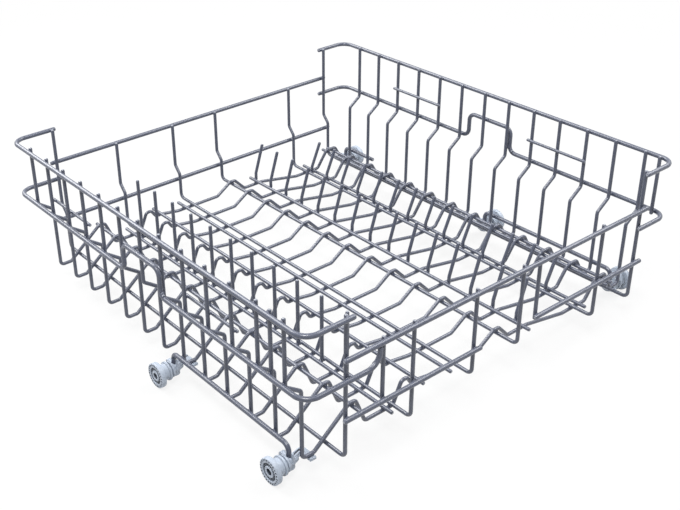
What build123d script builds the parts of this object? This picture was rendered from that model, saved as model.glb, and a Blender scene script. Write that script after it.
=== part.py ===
from build123d import *

import os
from math import cos, pi, sin, tan

os.makedirs("parts", exist_ok=True)

# Dishwasher basket of coated wire on five flanged rollers, in millimetres.
# X runs from the left wall to the right wall, Y from the near end to the far end, and Z up
# from the track that the rollers stand on.

# Wire gauges
rail_diameter = 5.0
wire_diameter = 4.0
tie_diameter = 3.5
weld_gap = 0.1
rail_sides = 8
wire_sides = 6

# Frame of rails, measured between centre lines, and its height over the wall wires' feet
basket_width = 496.0
basket_depth = 510.0
basket_height = 152.0
foot_over_axles = 9.0
rail_bend = 12.0
bend_facets = 2
rail_overhang = 6.0

# Drops below the rim
mid_rail_drop = 62.0
end_rail_drop = 40.5
far_low_rail_drop = 110.0
near_low_rail_drop = 103.0
left_tie_drop = 48.0
right_tie_drop = 33.0
wall_wire_rise = 3.5
post_rise = 2.0

# Raised step in the middle of each side's middle rail
step_far_y = 24.0
step_near_y = -41.0
step_rise = 30.0
step_bend = 7.0

# Cross wires: from wall to wall, with a jog inwards below the middle rail
cross_wire_count = 13
cross_wire_far_margin = 22.4
cross_wire_near_margin = 27.0
wall_jog = 17.0
wall_jog_start = 4.0
wall_jog_height = 12.0
foot_run = 13.5

# Floor of the cross wires: each flat stretch is (start, end), measured from the left wall's foot,
# from the middle of the basket or from the right wall's foot, and lies this far over the feet
hump_1 = (54.5, 62.5)
hump_1_rise = 33.0
valley_1 = (74.5, 110.0)
valley_1_rise = 4.0
hump_2 = (120.5, 127.5)
hump_2_rise = 27.0
dip = (133.5, 141.5)
dip_rise = 18.0
shelf_start = 166.5
shelf_end = 0.0
shelf_rise = 14.0
hump_3 = (21.0, 28.0)
hump_3_rise = 27.5
valley_2 = (43.0, 72.0)
valley_2_rise = 12.0
valley_3 = (96.5, 58.5)
valley_3_rise = 1.0
hump_4 = (42.5, 27.5)
hump_4_rise = 23.0

# Places of the long wires and floor rods on that floor
corner_left_inset = 13.0
corner_right_inset = 7.0
tine_1_inset = 102.0
shelf_rod_inset = 8.0
shelf_rod_pitch = 12.0
valley_2_rod_inset = 19.0
rod_overhang = 13.0
far_jog = 9.0
far_jog_height = 10.0
far_jog_over_rail = 8.0

# Bars of the near end that no long wire makes
near_upright_left_inset = 43.0
near_upright_right_x = 48.0
near_upright_tail = 4.0
left_return_reach = 35.0

# Plate tines
tine_1_count = 11
tine_1_height = 78.0
tine_2_count = 15
tine_3_count = 14
tine_foot = 10.0
tine_2_height = 48.0
tine_2_lean = 12.0
tine_3_height = 42.0
tine_3_lean = 14.0
tine_2_far_margin = 8.0
tine_2_near_margin = 22.0
tine_3_far_margin = 24.0
tine_3_near_margin = 50.0

# Wall ties and corner struts
tie_overhang = 4.0
left_tie_index = (1, 8)
right_tie_index = (2, 8)
tie_span_count = 2
strut_overhang = 3.0
right_strut_offset = 17.0

# Carrier wires under the side walls
carrier_wire_over_foot = 9.0
carrier_wire_bend = 6.0
carrier_leg_offset = 13.0
carrier_leg_depth = 2.0
middle_leg_index = 7
far_run_index = 1

# Roller carriers
boss_diameter = 11.0
boss_over_axle = 5.0
boss_under_axle = 7.0
boss_sides = 12
socket_clearance = 0.1
disc_diameter = 17.0
disc_thickness = 2.2
disc_stand_off = 0.4
cone_diameter = 14.0
cone_end_diameter = 7.0
cone_reach = 9.0
shoulder_diameter = 11.0
shoulder_length = 1.7
axle_diameter = 6.0
axle_recess = 3.0
arm_width = 5.0
arm_height = 6.0
arm_tip_height = 3.0
arm_reach = 18.0
clip_length = 7.0
clip_overhang = 4.0
lug_diameter = 8.0
lug_thickness = 5.0
lug_reach = 8.0
lug_rise = 2.0
tab_width = 3.0
tab_thickness = 1.6
tab_rise = 12.5

# Rollers
roller_flange_diameter = 27.0
roller_flange_width = 5.5
roller_drum_diameter = 17.0
roller_drum_width = 7.2
roller_lip_diameter = 20.0
roller_lip_width = 2.2
roller_running_gap = 0.4
roller_bore_clearance = 0.08
groove_outer_diameter = 18.0
groove_inner_diameter = 11.5
groove_depth = 2.5
roller_sides = 16

# Heights and contact distances that follow from the sizes above
axle_z = roller_flange_diameter / 2
foot_z = axle_z + foot_over_axles
rim_z = foot_z + basket_height
rail_on_wire = (rail_diameter + wire_diameter) / 2 + weld_gap
wire_on_wire = wire_diameter + weld_gap
wire_corner = wire_diameter / 2 / cos(pi / wire_sides)
rod_on_corner = wire_diameter / 2 + wire_corner + weld_gap

side_rail_x = basket_width / 2
end_rail_y = basket_depth / 2
wall_x = side_rail_x - rail_on_wire
foot_x = wall_x - wall_jog
upright_y = end_rail_y - rail_on_wire
far_foot_y = upright_y - far_jog
far_low_rail_y = far_foot_y + rail_on_wire
first_wire_y = far_foot_y - cross_wire_far_margin
last_wire_y = cross_wire_near_margin - upright_y
cross_wire_pitch = (first_wire_y - last_wire_y) / (cross_wire_count - 1)
rod_far_y = first_wire_y + rod_overhang
rod_near_y = last_wire_y - rod_overhang
carrier_wire_x = foot_x + rail_on_wire


def level(drop):
    """Height above the track of a place that lies this far below the rim."""
    return rim_z - drop


def floor(rise):
    """Height above the track of a place that lies this far over the wall wires' feet."""
    return foot_z + rise


def from_left(distance):
    """X of a place on the floor, measured from the left wall's foot."""
    return distance - foot_x


def from_right(distance):
    """X of a place on the floor, measured from the right wall's foot."""
    return foot_x - distance


def cross_wire_y(index):
    """Y of a cross wire, counted from the far end."""
    return first_wire_y - index * cross_wire_pitch


def under_slope(start, end, x, distance):
    """Height at x of a rod that lies this far below the sloping line from start to end."""
    slope = (end[1] - start[1]) / (end[0] - start[0])
    return start[1] + slope * (x - start[0]) - distance * (1 + slope**2) ** 0.5


def faceted(points, radii):
    """Centre line through these points, with each corner rounded by short straight facets."""
    corners = [Vector(*point) for point in points]
    line = [corners[0]]
    for before, corner, after, radius in zip(corners, corners[1:], corners[2:], radii):
        back = (before - corner).normalized()
        ahead = (after - corner).normalized()
        turn = pi - back.get_angle(ahead) * pi / 180
        centre = corner + (back + ahead).normalized() * (radius / cos(turn / 2))
        first = corner + back * (radius * tan(turn / 2)) - centre
        last = corner + ahead * (radius * tan(turn / 2)) - centre
        for step in range(bend_facets + 1):
            share = step / bend_facets
            spoke = first * sin((1 - share) * turn) + last * sin(share * turn)
            line.append(centre + spoke * (1 / sin(turn)))
    line.append(corners[-1])
    return line


def section(diameter, sides, mode=Mode.ADD):
    """Draw a many-sided round, this wide across its flats, with flats on the axes where they fit."""
    flat_turn = 180 / sides if sides % 4 == 0 else 0
    RegularPolygon(diameter / 2, sides, major_radius=False, rotation=flat_turn, mode=mode)


def round_step(plane, diameter, sides, length, mode=Mode.ADD):
    """Add or cut a many-sided round of this length, from a plane along its normal."""
    with BuildSketch(plane) as outline:
        section(diameter, sides)
    extrude(outline.sketch, amount=length, mode=mode)


def wire_body(points, normal, diameter, sides):
    """Sweep a wire's section along a centre line that lies in the plane with this normal."""
    with BuildPart() as wire:
        with BuildLine() as path:
            Polyline(*points)
        with BuildSketch(Plane(origin=path.line @ 0, z_dir=path.line % 0, x_dir=normal)):
            section(diameter, sides)
        sweep(path=path.line, transition=Transition.RIGHT)
    return wire.part


def save(solid, name):
    """Label a finished piece and write it."""
    solid.label = name
    export_step(solid, f"parts/{name}.step")


def save_rail(name, points, normal):
    """Write one thick rail."""
    save(wire_body(points, normal, rail_diameter, rail_sides), name)


def save_wire(name, points, normal):
    """Write one thinner wire."""
    save(wire_body(points, normal, wire_diameter, wire_sides), name)


def save_group(name, solids):
    """Write several separate bars as one group."""
    with BuildPart() as group:
        add(solids)
    save(group.part, name)


along_x = (1, 0, 0)
along_y = (0, 1, 0)
along_z = (0, 0, 1)

# Cross wires: one profile, repeated from the far end to the near end
floor_flats = [
    (from_left(hump_1[0]), from_left(hump_1[1]), hump_1_rise),
    (from_left(valley_1[0]), from_left(valley_1[1]), valley_1_rise),
    (from_left(hump_2[0]), from_left(hump_2[1]), hump_2_rise),
    (from_left(dip[0]), from_left(dip[1]), dip_rise),
    (from_left(shelf_start), shelf_end, shelf_rise),
    (hump_3[0], hump_3[1], hump_3_rise),
    (valley_2[0], valley_2[1], valley_2_rise),
    (from_right(valley_3[0]), from_right(valley_3[1]), valley_3_rise),
    (from_right(hump_4[0]), from_right(hump_4[1]), hump_4_rise),
]
wall_bends = [
    (wall_x, rim_z + wall_wire_rise),
    (wall_x, level(mid_rail_drop + wall_jog_start)),
    (foot_x, level(mid_rail_drop + wall_jog_start + wall_jog_height)),
    (foot_x, foot_z),
    (from_right(foot_run), foot_z),
]
floor_bends = [(x, floor(rise)) for start, end, rise in floor_flats for x in (start, end)]
left_bends = [(-x, z) for x, z in wall_bends]
profile = left_bends + floor_bends + wall_bends[::-1]

for index in range(cross_wire_count):
    bends = [(x, cross_wire_y(index), z) for x, z in profile]
    save_wire(f"cross_wire_{index + 1:02d}", bends, along_y)

# Long wires: a floor run between two upturned ends that are bars of the end walls
left_slope = ((from_left(foot_run), foot_z), (from_left(hump_1[0]), floor(hump_1_rise)))
right_slope = ((from_right(hump_4[1]), floor(hump_4_rise)), (from_right(foot_run), foot_z))
corner_left_x = from_left(foot_run) + corner_left_inset
corner_right_x = from_right(foot_run) - corner_right_inset
tine_1_x = from_left(tine_1_inset)
tine_3_x = from_right((valley_3[0] + valley_3[1]) / 2)
hump_3_x = (hump_3[0] + hump_3[1]) / 2
shelf_rod_x = from_left(shelf_start) + shelf_rod_inset
middle_wire_x = shelf_rod_x + shelf_rod_pitch
valley_2_rod_x = valley_2[0] + valley_2_rod_inset

valley_1_rod_z = floor(valley_1_rise) + wire_on_wire
shelf_rod_z = floor(shelf_rise) + wire_on_wire
valley_2_rod_z = floor(valley_2_rise) + wire_on_wire
valley_3_rod_z = floor(valley_3_rise) + wire_on_wire

far_jog_drop = far_low_rail_drop - far_jog_over_rail
bar_top = level(end_rail_drop) + rail_diameter / 2
post_top = rim_z + post_rise
corner_left_z = under_slope(*left_slope, corner_left_x, rod_on_corner)
corner_right_z = under_slope(*right_slope, corner_right_x, rod_on_corner)
long_wires = {
    "long_wire_corner_left": (corner_left_x, corner_left_z, post_top),
    "long_wire_tine_1": (tine_1_x + rod_on_corner, valley_1_rod_z, bar_top),
    "long_wire_middle": (middle_wire_x, shelf_rod_z, bar_top),
    "long_wire_hump_3": (hump_3_x, floor(hump_3_rise) - wire_on_wire, bar_top),
    "long_wire_tine_3": (tine_3_x - rod_on_corner, valley_3_rod_z, bar_top),
    "long_wire_corner_right": (corner_right_x, corner_right_z, post_top),
}
for name, (x, run_z, top_z) in long_wires.items():
    bends = [
        (x, upright_y, top_z),
        (x, upright_y, level(far_jog_drop - far_jog_height)),
        (x, far_foot_y, level(far_jog_drop)),
        (x, far_foot_y, run_z),
        (x, -upright_y, run_z),
        (x, -upright_y, top_z),
    ]
    save_wire(name, bends, along_x)

# Floor rods: straight rods on the valleys and inside the humps
hump_1_rod_x = from_left((hump_1[0] + hump_1[1]) / 2)
hump_4_x = from_right((hump_4[0] + hump_4[1]) / 2)
floor_rods = [
    (hump_1_rod_x, floor(hump_1_rise) - wire_on_wire),
    (tine_1_x - rod_on_corner, valley_1_rod_z),
    (from_left((dip[0] + dip[1]) / 2), floor(dip_rise) + wire_on_wire),
    (shelf_rod_x, shelf_rod_z),
    (valley_2_rod_x, valley_2_rod_z),
    (tine_3_x + rod_on_corner, valley_3_rod_z),
    (hump_4_x - wire_on_wire, floor(hump_4_rise) - wire_on_wire),
    (hump_4_x + wire_on_wire, floor(hump_4_rise) - wire_on_wire),
]
for index, (x, z) in enumerate(floor_rods):
    save_wire(f"floor_rod_{index + 1:02d}", [(x, rod_far_y, z), (x, rod_near_y, z)], along_x)

# Side rails: C-shaped, with returns that end on the corner posts
return_ends = {-1: corner_left_x + rail_overhang, 1: corner_right_x - rail_overhang}
mid_rail_z = level(mid_rail_drop)
end_rail_z = level(end_rail_drop)
sides = {"left": -1, "right": 1}


def side_rail(side, z, middle=()):
    """Points of one side's rail, from its far return to its near return."""
    far_half = [(return_ends[side], end_rail_y, z), (side * side_rail_x, end_rail_y, z)]
    near_half = [(side * side_rail_x, -end_rail_y, z), (return_ends[side], -end_rail_y, z)]
    return far_half + list(middle) + near_half


for name, side in sides.items():
    rail_x = side * side_rail_x
    top_rail = faceted(side_rail(side, rim_z), [rail_bend] * 2)
    save_rail(f"side_top_rail_{name}", top_rail, along_z)

    step = [
        (rail_x, step_far_y, mid_rail_z),
        (rail_x, step_far_y, mid_rail_z + step_rise),
        (rail_x, step_near_y, mid_rail_z + step_rise),
        (rail_x, step_near_y, mid_rail_z),
    ]
    mid_rail = side_rail(side, mid_rail_z, step)
    mid_bends = [rail_bend] + [step_bend] * len(step) + [rail_bend]
    if name == "left":
        riser_x = corner_left_x + left_return_reach
        riser_top = end_rail_z - rail_diameter / 2 - weld_gap
        mid_rail[-1:] = [(riser_x, -end_rail_y, mid_rail_z), (riser_x, -end_rail_y, riser_top)]
        mid_bends.append(rail_bend)
    save_rail(f"side_mid_rail_{name}", faceted(mid_rail, mid_bends), along_z)

# End rails: straight, outside the upturned wires
rail_left = corner_left_x - rail_overhang
rail_right = corner_right_x + rail_overhang
far_low_rail_z = level(far_low_rail_drop)
near_low_rail_z = level(near_low_rail_drop)
near_low_left_end = middle_wire_x + rail_overhang
near_low_right_start = near_upright_right_x - rail_overhang
end_rails = {
    "far_top_rail": (rail_left, rail_right, end_rail_y, end_rail_z),
    "near_top_rail": (rail_left, rail_right, -end_rail_y, end_rail_z),
    "far_low_rail": (rail_left, rail_right, far_low_rail_y, far_low_rail_z),
    "near_low_rail_left": (rail_left, near_low_left_end, -end_rail_y, near_low_rail_z),
    "near_low_rail_right": (near_low_right_start, rail_right, -end_rail_y, near_low_rail_z),
}
for name, (start, end, y, z) in end_rails.items():
    save_rail(name, [(start, y, z), (end, y, z)], along_z)

# Near uprights: two short bars from the near top rail to the low rails
near_uprights = {"left": corner_left_x + near_upright_left_inset, "right": near_upright_right_x}
near_upright_end = near_low_rail_z - rail_diameter / 2 - near_upright_tail
for name, x in near_uprights.items():
    bends = [(x, -upright_y, bar_top), (x, -upright_y, near_upright_end)]
    save_wire(f"near_upright_{name}", bends, along_x)

# Corner struts between the side rails, beside the last cross wires
strut_places = {
    "left": last_wire_y + cross_wire_pitch / 2,
    "right": last_wire_y - right_strut_offset,
}
for name, side in sides.items():
    x, y = side * wall_x, strut_places[name]
    bends = [(x, y, rim_z + strut_overhang), (x, y, mid_rail_z - strut_overhang)]
    save_wire(f"corner_strut_{name}", bends, along_y)

# Wall ties: two short rods inside each side wall, each across three wires
tie_x = wall_x - (wire_diameter + tie_diameter) / 2 - weld_gap
wall_ties = {"left": (left_tie_index, left_tie_drop), "right": (right_tie_index, right_tie_drop)}
for name, (first_wires, drop) in wall_ties.items():
    ties = []
    for first in first_wires:
        far_y = cross_wire_y(first) + tie_overhang
        near_y = cross_wire_y(first + tie_span_count) - tie_overhang
        ends = [(sides[name] * tie_x, y, level(drop)) for y in (far_y, near_y)]
        ties.append(wire_body(ends, along_z, tie_diameter, wire_sides))
    save_group(f"wall_ties_{name}", ties)


def tine_row(x, places, foot, height, lean):
    """Tines on a row of places: a short upright foot, then a leaning or upright shaft."""
    tines = []
    for y in places:
        bends = [(x, y, foot), (x, y, foot + tine_foot), (x + lean, y, foot + height)]
        if lean == 0:
            bends = [bends[0], bends[-1]]
        tines.append(wire_body(bends, along_y, wire_diameter, wire_sides))
    return tines


def even_places(count, far_margin, near_margin):
    """Evenly spaced Y places between two margins from the floor rods' ends."""
    far_y = rod_far_y - far_margin
    pitch = (far_y - rod_near_y - near_margin) / (count - 1)
    return [far_y - index * pitch for index in range(count)]


# Tine rows: the first stands between the cross wires, the others above them
tine_seat = wire_diameter / 2 + weld_gap
row_1 = [cross_wire_y(index + 0.5) for index in range(tine_1_count)]
row_2 = even_places(tine_2_count, tine_2_far_margin, tine_2_near_margin)
row_3 = even_places(tine_3_count, tine_3_far_margin, tine_3_near_margin)
tine_2_x = valley_2_rod_x + rod_on_corner
tine_rows = [
    tine_row(tine_1_x, row_1, floor(valley_1_rise) + tine_seat, tine_1_height, 0),
    tine_row(tine_2_x, row_2, floor(valley_2_rise) + tine_seat, tine_2_height, tine_2_lean),
    tine_row(tine_3_x, row_3, floor(valley_3_rise) + tine_seat, tine_3_height, tine_3_lean),
]
for index, tines in enumerate(tine_rows):
    save_group(f"tine_row_{index + 1}", tines)

# Carrier wires: outside the walls' feet, with legs down to the roller carriers
carrier_run_z = foot_z + carrier_wire_over_foot
leg_end_z = axle_z - carrier_leg_depth
middle_leg_y = cross_wire_y(middle_leg_index) + carrier_leg_offset
near_leg_y = last_wire_y + carrier_leg_offset
far_leg_y = first_wire_y + carrier_leg_offset
for name, side in sides.items():
    x = side * carrier_wire_x
    bends = [
        (x, middle_leg_y, leg_end_z),
        (x, middle_leg_y, carrier_run_z),
        (x, near_leg_y, carrier_run_z),
        (x, near_leg_y, leg_end_z),
    ]
    save_rail(f"carrier_wire_{name}", faceted(bends, [carrier_wire_bend] * 2), along_x)
far_bends = [
    (carrier_wire_x, far_leg_y, leg_end_z),
    (carrier_wire_x, far_leg_y, carrier_run_z),
    (carrier_wire_x, cross_wire_y(far_run_index) - rail_overhang, carrier_run_z),
]
save_rail("carrier_wire_far_right", faceted(far_bends, [carrier_wire_bend]), along_x)

# Roller carriers: moulded pieces on the legs, with an axle outwards and an arm under a cross wire
disc_start = boss_diameter / 2 - disc_thickness + disc_stand_off
disc_end = disc_start + disc_thickness
shoulder_end = disc_end + shoulder_length
roller_start = shoulder_end + roller_running_gap
flange_start = roller_start + roller_lip_width + roller_drum_width
roller_end = flange_start + roller_flange_width
axle_end = roller_end - axle_recess
clip_top = foot_z - wire_diameter / 2 - weld_gap


def axle_plane(side, leg_y):
    """Plane across the axle at a leg's centre line, facing outwards."""
    return Plane((side * carrier_wire_x, leg_y, axle_z), x_dir=along_y, z_dir=(side, 0, 0))


def roller_carrier(side, leg_y):
    """One carrier, on the leg at this Y of the left or right wall."""
    leg_x = side * carrier_wire_x
    axle = axle_plane(side, leg_y)
    leg = Plane((leg_x, leg_y, 0))
    outline = Plane((leg_x, leg_y, 0), x_dir=(side, 0, 0), z_dir=(0, -side, 0))
    with BuildPart() as carrier:
        boss_height = boss_under_axle + boss_over_axle
        round_step(leg.offset(axle_z - boss_under_axle), boss_diameter, boss_sides, boss_height)
        with BuildSketch(axle.offset(disc_start)):
            section(cone_diameter, boss_sides)
        with BuildSketch(axle.offset(-cone_reach)):
            section(cone_end_diameter, boss_sides)
        loft(ruled=True)
        round_step(axle.offset(disc_start), disc_diameter, roller_sides, disc_thickness)
        round_step(axle.offset(disc_end), shoulder_diameter, roller_sides, shoulder_length)
        round_step(axle.offset(shoulder_end), axle_diameter, roller_sides, axle_end - shoulder_end)
        with BuildSketch(axle.offset(-lug_thickness / 2)):
            with Locations((lug_reach, side * lug_rise)):
                section(lug_diameter, boss_sides)
        extrude(amount=lug_thickness)
        with BuildSketch(leg.offset(axle_z)):
            with Locations((0, -boss_diameter / 2)):
                Rectangle(tab_thickness, tab_width)
        extrude(amount=tab_rise)
        with BuildSketch(outline):
            Polygon(
                (0, axle_z - arm_height / 2),
                (0, axle_z + arm_height / 2),
                (clip_length - arm_reach, clip_top),
                (-arm_reach, clip_top),
                (-arm_reach, clip_top - arm_tip_height),
                align=None,
            )
        extrude(amount=arm_width / 2, both=True)
        clip_width = carrier_leg_offset + clip_overhang
        with BuildSketch(leg.offset(clip_top)):
            with Locations((side * (clip_length / 2 - arm_reach), -clip_width / 2)):
                Rectangle(clip_length, clip_width)
        extrude(amount=-arm_tip_height)
        socket = leg.offset(leg_end_z - weld_gap)
        round_step(socket, rail_diameter + 2 * socket_clearance, rail_sides, basket_height, Mode.SUBTRACT)
    return carrier.part


def roller(side, leg_y):
    """One flanged roller on the axle of the carrier at this Y."""
    axle = axle_plane(side, leg_y)
    drum_start = roller_start + roller_lip_width
    bore_diameter = axle_diameter + 2 * roller_bore_clearance
    with BuildPart() as turned:
        round_step(axle.offset(roller_start), roller_lip_diameter, roller_sides, roller_lip_width)
        round_step(axle.offset(drum_start), roller_drum_diameter, roller_sides, roller_drum_width)
        round_step(axle.offset(flange_start), roller_flange_diameter, roller_sides, roller_flange_width)
        with BuildSketch(axle.offset(roller_end)):
            section(groove_outer_diameter, roller_sides)
            section(groove_inner_diameter, roller_sides, Mode.SUBTRACT)
        extrude(amount=-groove_depth, mode=Mode.SUBTRACT)
        bore = axle.offset(roller_start)
        round_step(bore, bore_diameter, roller_sides, roller_end - roller_start, Mode.SUBTRACT)
    return turned.part


roller_places = [(-1, middle_leg_y), (-1, near_leg_y), (1, far_leg_y), (1, middle_leg_y), (1, near_leg_y)]
for index, (side, leg_y) in enumerate(roller_places):
    save(roller_carrier(side, leg_y), f"roller_carrier_{index + 1}")
    save(roller(side, leg_y), f"roller_{index + 1}")
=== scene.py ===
"""Looks of a dishwasher basket of coated wire on flanged rollers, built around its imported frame."""

import logging
import math
from dataclasses import dataclass
from enum import Enum

import bmesh
import bpy
import numpy as np
from mathutils import Matrix, Vector


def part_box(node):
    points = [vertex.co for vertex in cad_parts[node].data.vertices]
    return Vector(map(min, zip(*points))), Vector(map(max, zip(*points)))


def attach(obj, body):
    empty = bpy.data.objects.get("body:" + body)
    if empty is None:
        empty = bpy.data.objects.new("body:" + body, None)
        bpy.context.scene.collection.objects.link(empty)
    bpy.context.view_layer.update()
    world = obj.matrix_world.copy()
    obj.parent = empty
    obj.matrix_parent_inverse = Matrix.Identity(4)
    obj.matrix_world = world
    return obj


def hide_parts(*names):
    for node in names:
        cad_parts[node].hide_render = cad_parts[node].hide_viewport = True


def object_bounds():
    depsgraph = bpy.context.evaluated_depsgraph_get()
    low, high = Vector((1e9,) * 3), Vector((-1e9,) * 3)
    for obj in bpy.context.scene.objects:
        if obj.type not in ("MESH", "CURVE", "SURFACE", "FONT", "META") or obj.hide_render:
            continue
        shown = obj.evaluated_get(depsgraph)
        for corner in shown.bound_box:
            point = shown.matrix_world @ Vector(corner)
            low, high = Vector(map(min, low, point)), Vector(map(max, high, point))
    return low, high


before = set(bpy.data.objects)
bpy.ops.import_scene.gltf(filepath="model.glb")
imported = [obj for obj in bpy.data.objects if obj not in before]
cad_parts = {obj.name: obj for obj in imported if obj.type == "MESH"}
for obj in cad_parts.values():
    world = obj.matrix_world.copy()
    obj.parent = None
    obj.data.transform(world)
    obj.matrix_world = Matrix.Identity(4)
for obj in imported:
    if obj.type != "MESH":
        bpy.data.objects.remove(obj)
cad_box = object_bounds()
log = logging.getLogger("dishwasher_basket")

MM = 0.001
MERGE_DISTANCE = 1e-6
BASKET_BODY = "basket"
GAUGE = "gauge"
WELD_AXIS = "weld_axis"
WELD_SIZE = "weld_size"
RECESS = "recess"
# Marks where light or shade is painted into the colour: a painted highlight on wire ends, painted shade in
# the rollers' and carriers' recesses.
PAINTED_LIGHT_AND_SHADE = "accent"
WHITE = (1.0, 1.0, 1.0, 1.0)
FULL = 1.0
NOISE_MIDDLE = 0.5
MOTTLE_NOISE = {"Detail": 3.0, "Roughness": 0.6}
GRAIN_NOISE = {"Detail": 2.0, "Roughness": 0.5}


class NodeSketch:
    """A node tree being drawn, with one call that adds a node and joins its inputs."""

    def __init__(self, tree: bpy.types.NodeTree) -> None:
        """Start drawing in this tree."""
        self.tree = tree

    def add(
        self,
        kind: str,
        inputs: dict[str | int, object] | None = None,
        **properties: object,
    ) -> bpy.types.Node:
        """Add one node.

        Args:
            kind: the node's type name.
            inputs: a value, or another node's output, for each named or numbered input.
            **properties: settings of the node itself, set before its inputs.

        Returns:
            The new node.
        """
        node = self.tree.nodes.new(kind)
        for name, value in properties.items():
            setattr(node, name, value)
        for key, value in (inputs or {}).items():
            if isinstance(value, bpy.types.NodeSocket):
                self.tree.links.new(value, node.inputs[key])
            else:
                node.inputs[key].default_value = value
        return node

    def math(self, operation: str, first: object, second: object) -> bpy.types.NodeSocket:
        """Add a calculation on two values or outputs, and give its result."""
        return self.add("ShaderNodeMath", {0: first, 1: second}, operation=operation).outputs[0]

    def attribute(self, name: str, kind: str = "FLOAT") -> bpy.types.NodeSocket:
        """Read a named attribute of the given kind, and give its value."""
        node = self.add("GeometryNodeInputNamedAttribute", {"Name": name}, data_type=kind)
        return node.outputs["Attribute"]

    def smooth(self, geometry: bpy.types.NodeSocket) -> bpy.types.NodeSocket:
        """Shade a mesh smooth, and give it back."""
        inputs = {"Geometry": geometry, "Shade Smooth": True}
        return self.add("GeometryNodeSetShadeSmooth", inputs).outputs["Geometry"]

    def accent(
        self, geometry: bpy.types.NodeSocket, where: bpy.types.NodeSocket, domain: str
    ) -> bpy.types.NodeSocket:
        """Mark part of a mesh for the full painted light or shade colour.

        Args:
            geometry: the mesh.
            where: the part.
            domain: what the part is made of, faces or points.

        Returns:
            The mesh with its painted light or shade mark.
        """
        inputs = {"Geometry": geometry, "Selection": where, "Name": PAINTED_LIGHT_AND_SHADE, "Value": FULL}
        kind = "GeometryNodeStoreNamedAttribute"
        return self.add(kind, inputs, data_type="FLOAT", domain=domain).outputs["Geometry"]

    def close(self, geometry: bpy.types.NodeSocket, material: bpy.types.NodeSocket) -> bpy.types.NodeTree:
        """End a geometry tree in real meshes with their finish.

        Args:
            geometry: what the tree has made.
            material: the finish that goes on it.

        Returns:
            The whole tree.
        """
        real = self.add("GeometryNodeRealizeInstances", {"Geometry": geometry})
        dressed = self.add(
            "GeometryNodeSetMaterial",
            {"Geometry": real.outputs["Geometry"], "Material": material},
        )
        self.add("NodeGroupOutput", {"Geometry": dressed.outputs["Geometry"]})
        return self.tree


def blank_sketch(block: bpy.types.Material | bpy.types.World) -> NodeSketch:
    """Start an empty node tree on a material or a world.

    Args:
        block: the material or world.

    Returns:
        The sketch of its tree.
    """
    block.use_nodes = True
    block.node_tree.nodes.clear()
    return NodeSketch(block.node_tree)


def geometry_sketch(name: str, sizes: dict[str, str]) -> tuple[NodeSketch, dict[str, bpy.types.NodeSocket]]:
    """Start a Geometry Nodes tree.

    Args:
        name: the tree's name.
        sizes: the socket type of each named input, after the geometry.

    Returns:
        The sketch of the tree, and its inputs by name.
    """
    tree = bpy.data.node_groups.new(name, "GeometryNodeTree")
    tree.interface.new_socket("Geometry", in_out="INPUT", socket_type="NodeSocketGeometry")
    for label, kind in sizes.items():
        tree.interface.new_socket(label, in_out="INPUT", socket_type=kind)
    tree.interface.new_socket("Geometry", in_out="OUTPUT", socket_type="NodeSocketGeometry")
    sketch = NodeSketch(tree)
    outputs = sketch.add("NodeGroupInput").outputs
    return sketch, {label: outputs[label] for label in ("Geometry", *sizes)}


def add_tree(piece: bpy.types.Object, tree: bpy.types.NodeTree, sizes: dict[str, object]) -> None:
    """Put a Geometry Nodes tree on a piece.

    Args:
        piece: the piece whose mesh the tree starts from.
        tree: the tree.
        sizes: a value for each named input.
    """
    modifier = piece.modifiers.new(tree.name, "NODES")
    modifier.node_group = tree
    for socket in tree.interface.items_tree:
        if socket.in_out == "INPUT" and socket.name in sizes:
            modifier[socket.identifier] = sizes[socket.name]


def merged(node: str) -> bmesh.types.BMesh:
    """Copy a CAD node with its triangles joined at their corners.

    Args:
        node: the node's name.

    Returns:
        The copy.
    """
    shell = bmesh.new()
    shell.from_mesh(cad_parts[node].data)
    bmesh.ops.remove_doubles(shell, verts=shell.verts, dist=MERGE_DISTANCE)
    return shell


def plain_mesh(shell: bmesh.types.BMesh, name: str) -> bpy.types.Mesh:
    """Turn a shell into a mesh.

    Args:
        shell: the shell, which is freed.
        name: the mesh's name.

    Returns:
        The mesh.
    """
    mesh = bpy.data.meshes.new(name)
    shell.to_mesh(mesh)
    shell.free()
    return mesh


def new_piece(name: str, mesh: bpy.types.Mesh) -> bpy.types.Object:
    """Put a mesh in the scene as an object at the origin.

    Args:
        name: the object's name.
        mesh: its mesh.

    Returns:
        The new object.
    """
    piece = bpy.data.objects.new(name, mesh)
    bpy.context.scene.collection.objects.link(piece)
    return piece


def settle(piece: bpy.types.Object) -> None:
    """Turn what a piece's modifiers make into its plain mesh.

    Args:
        piece: the piece, which loses its modifiers.
    """
    evaluated = piece.evaluated_get(bpy.context.evaluated_depsgraph_get())
    plain = bpy.data.meshes.new_from_object(evaluated)
    piece.modifiers.clear()
    piece.data = plain
    plain.name = piece.name


def seat(piece: bpy.types.Object, body: str, nodes: tuple[str, ...]) -> None:
    """Join a finished piece to the frame and report it.

    Args:
        piece: the finished piece.
        body: the body that it moves with.
        nodes: the CAD nodes that it stands for.
    """
    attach(piece, body)
    if nodes:
        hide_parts(*nodes)
    log.info("%s: %d faces on %s, for %d nodes", piece.name, len(piece.data.polygons), body, len(nodes))


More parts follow.
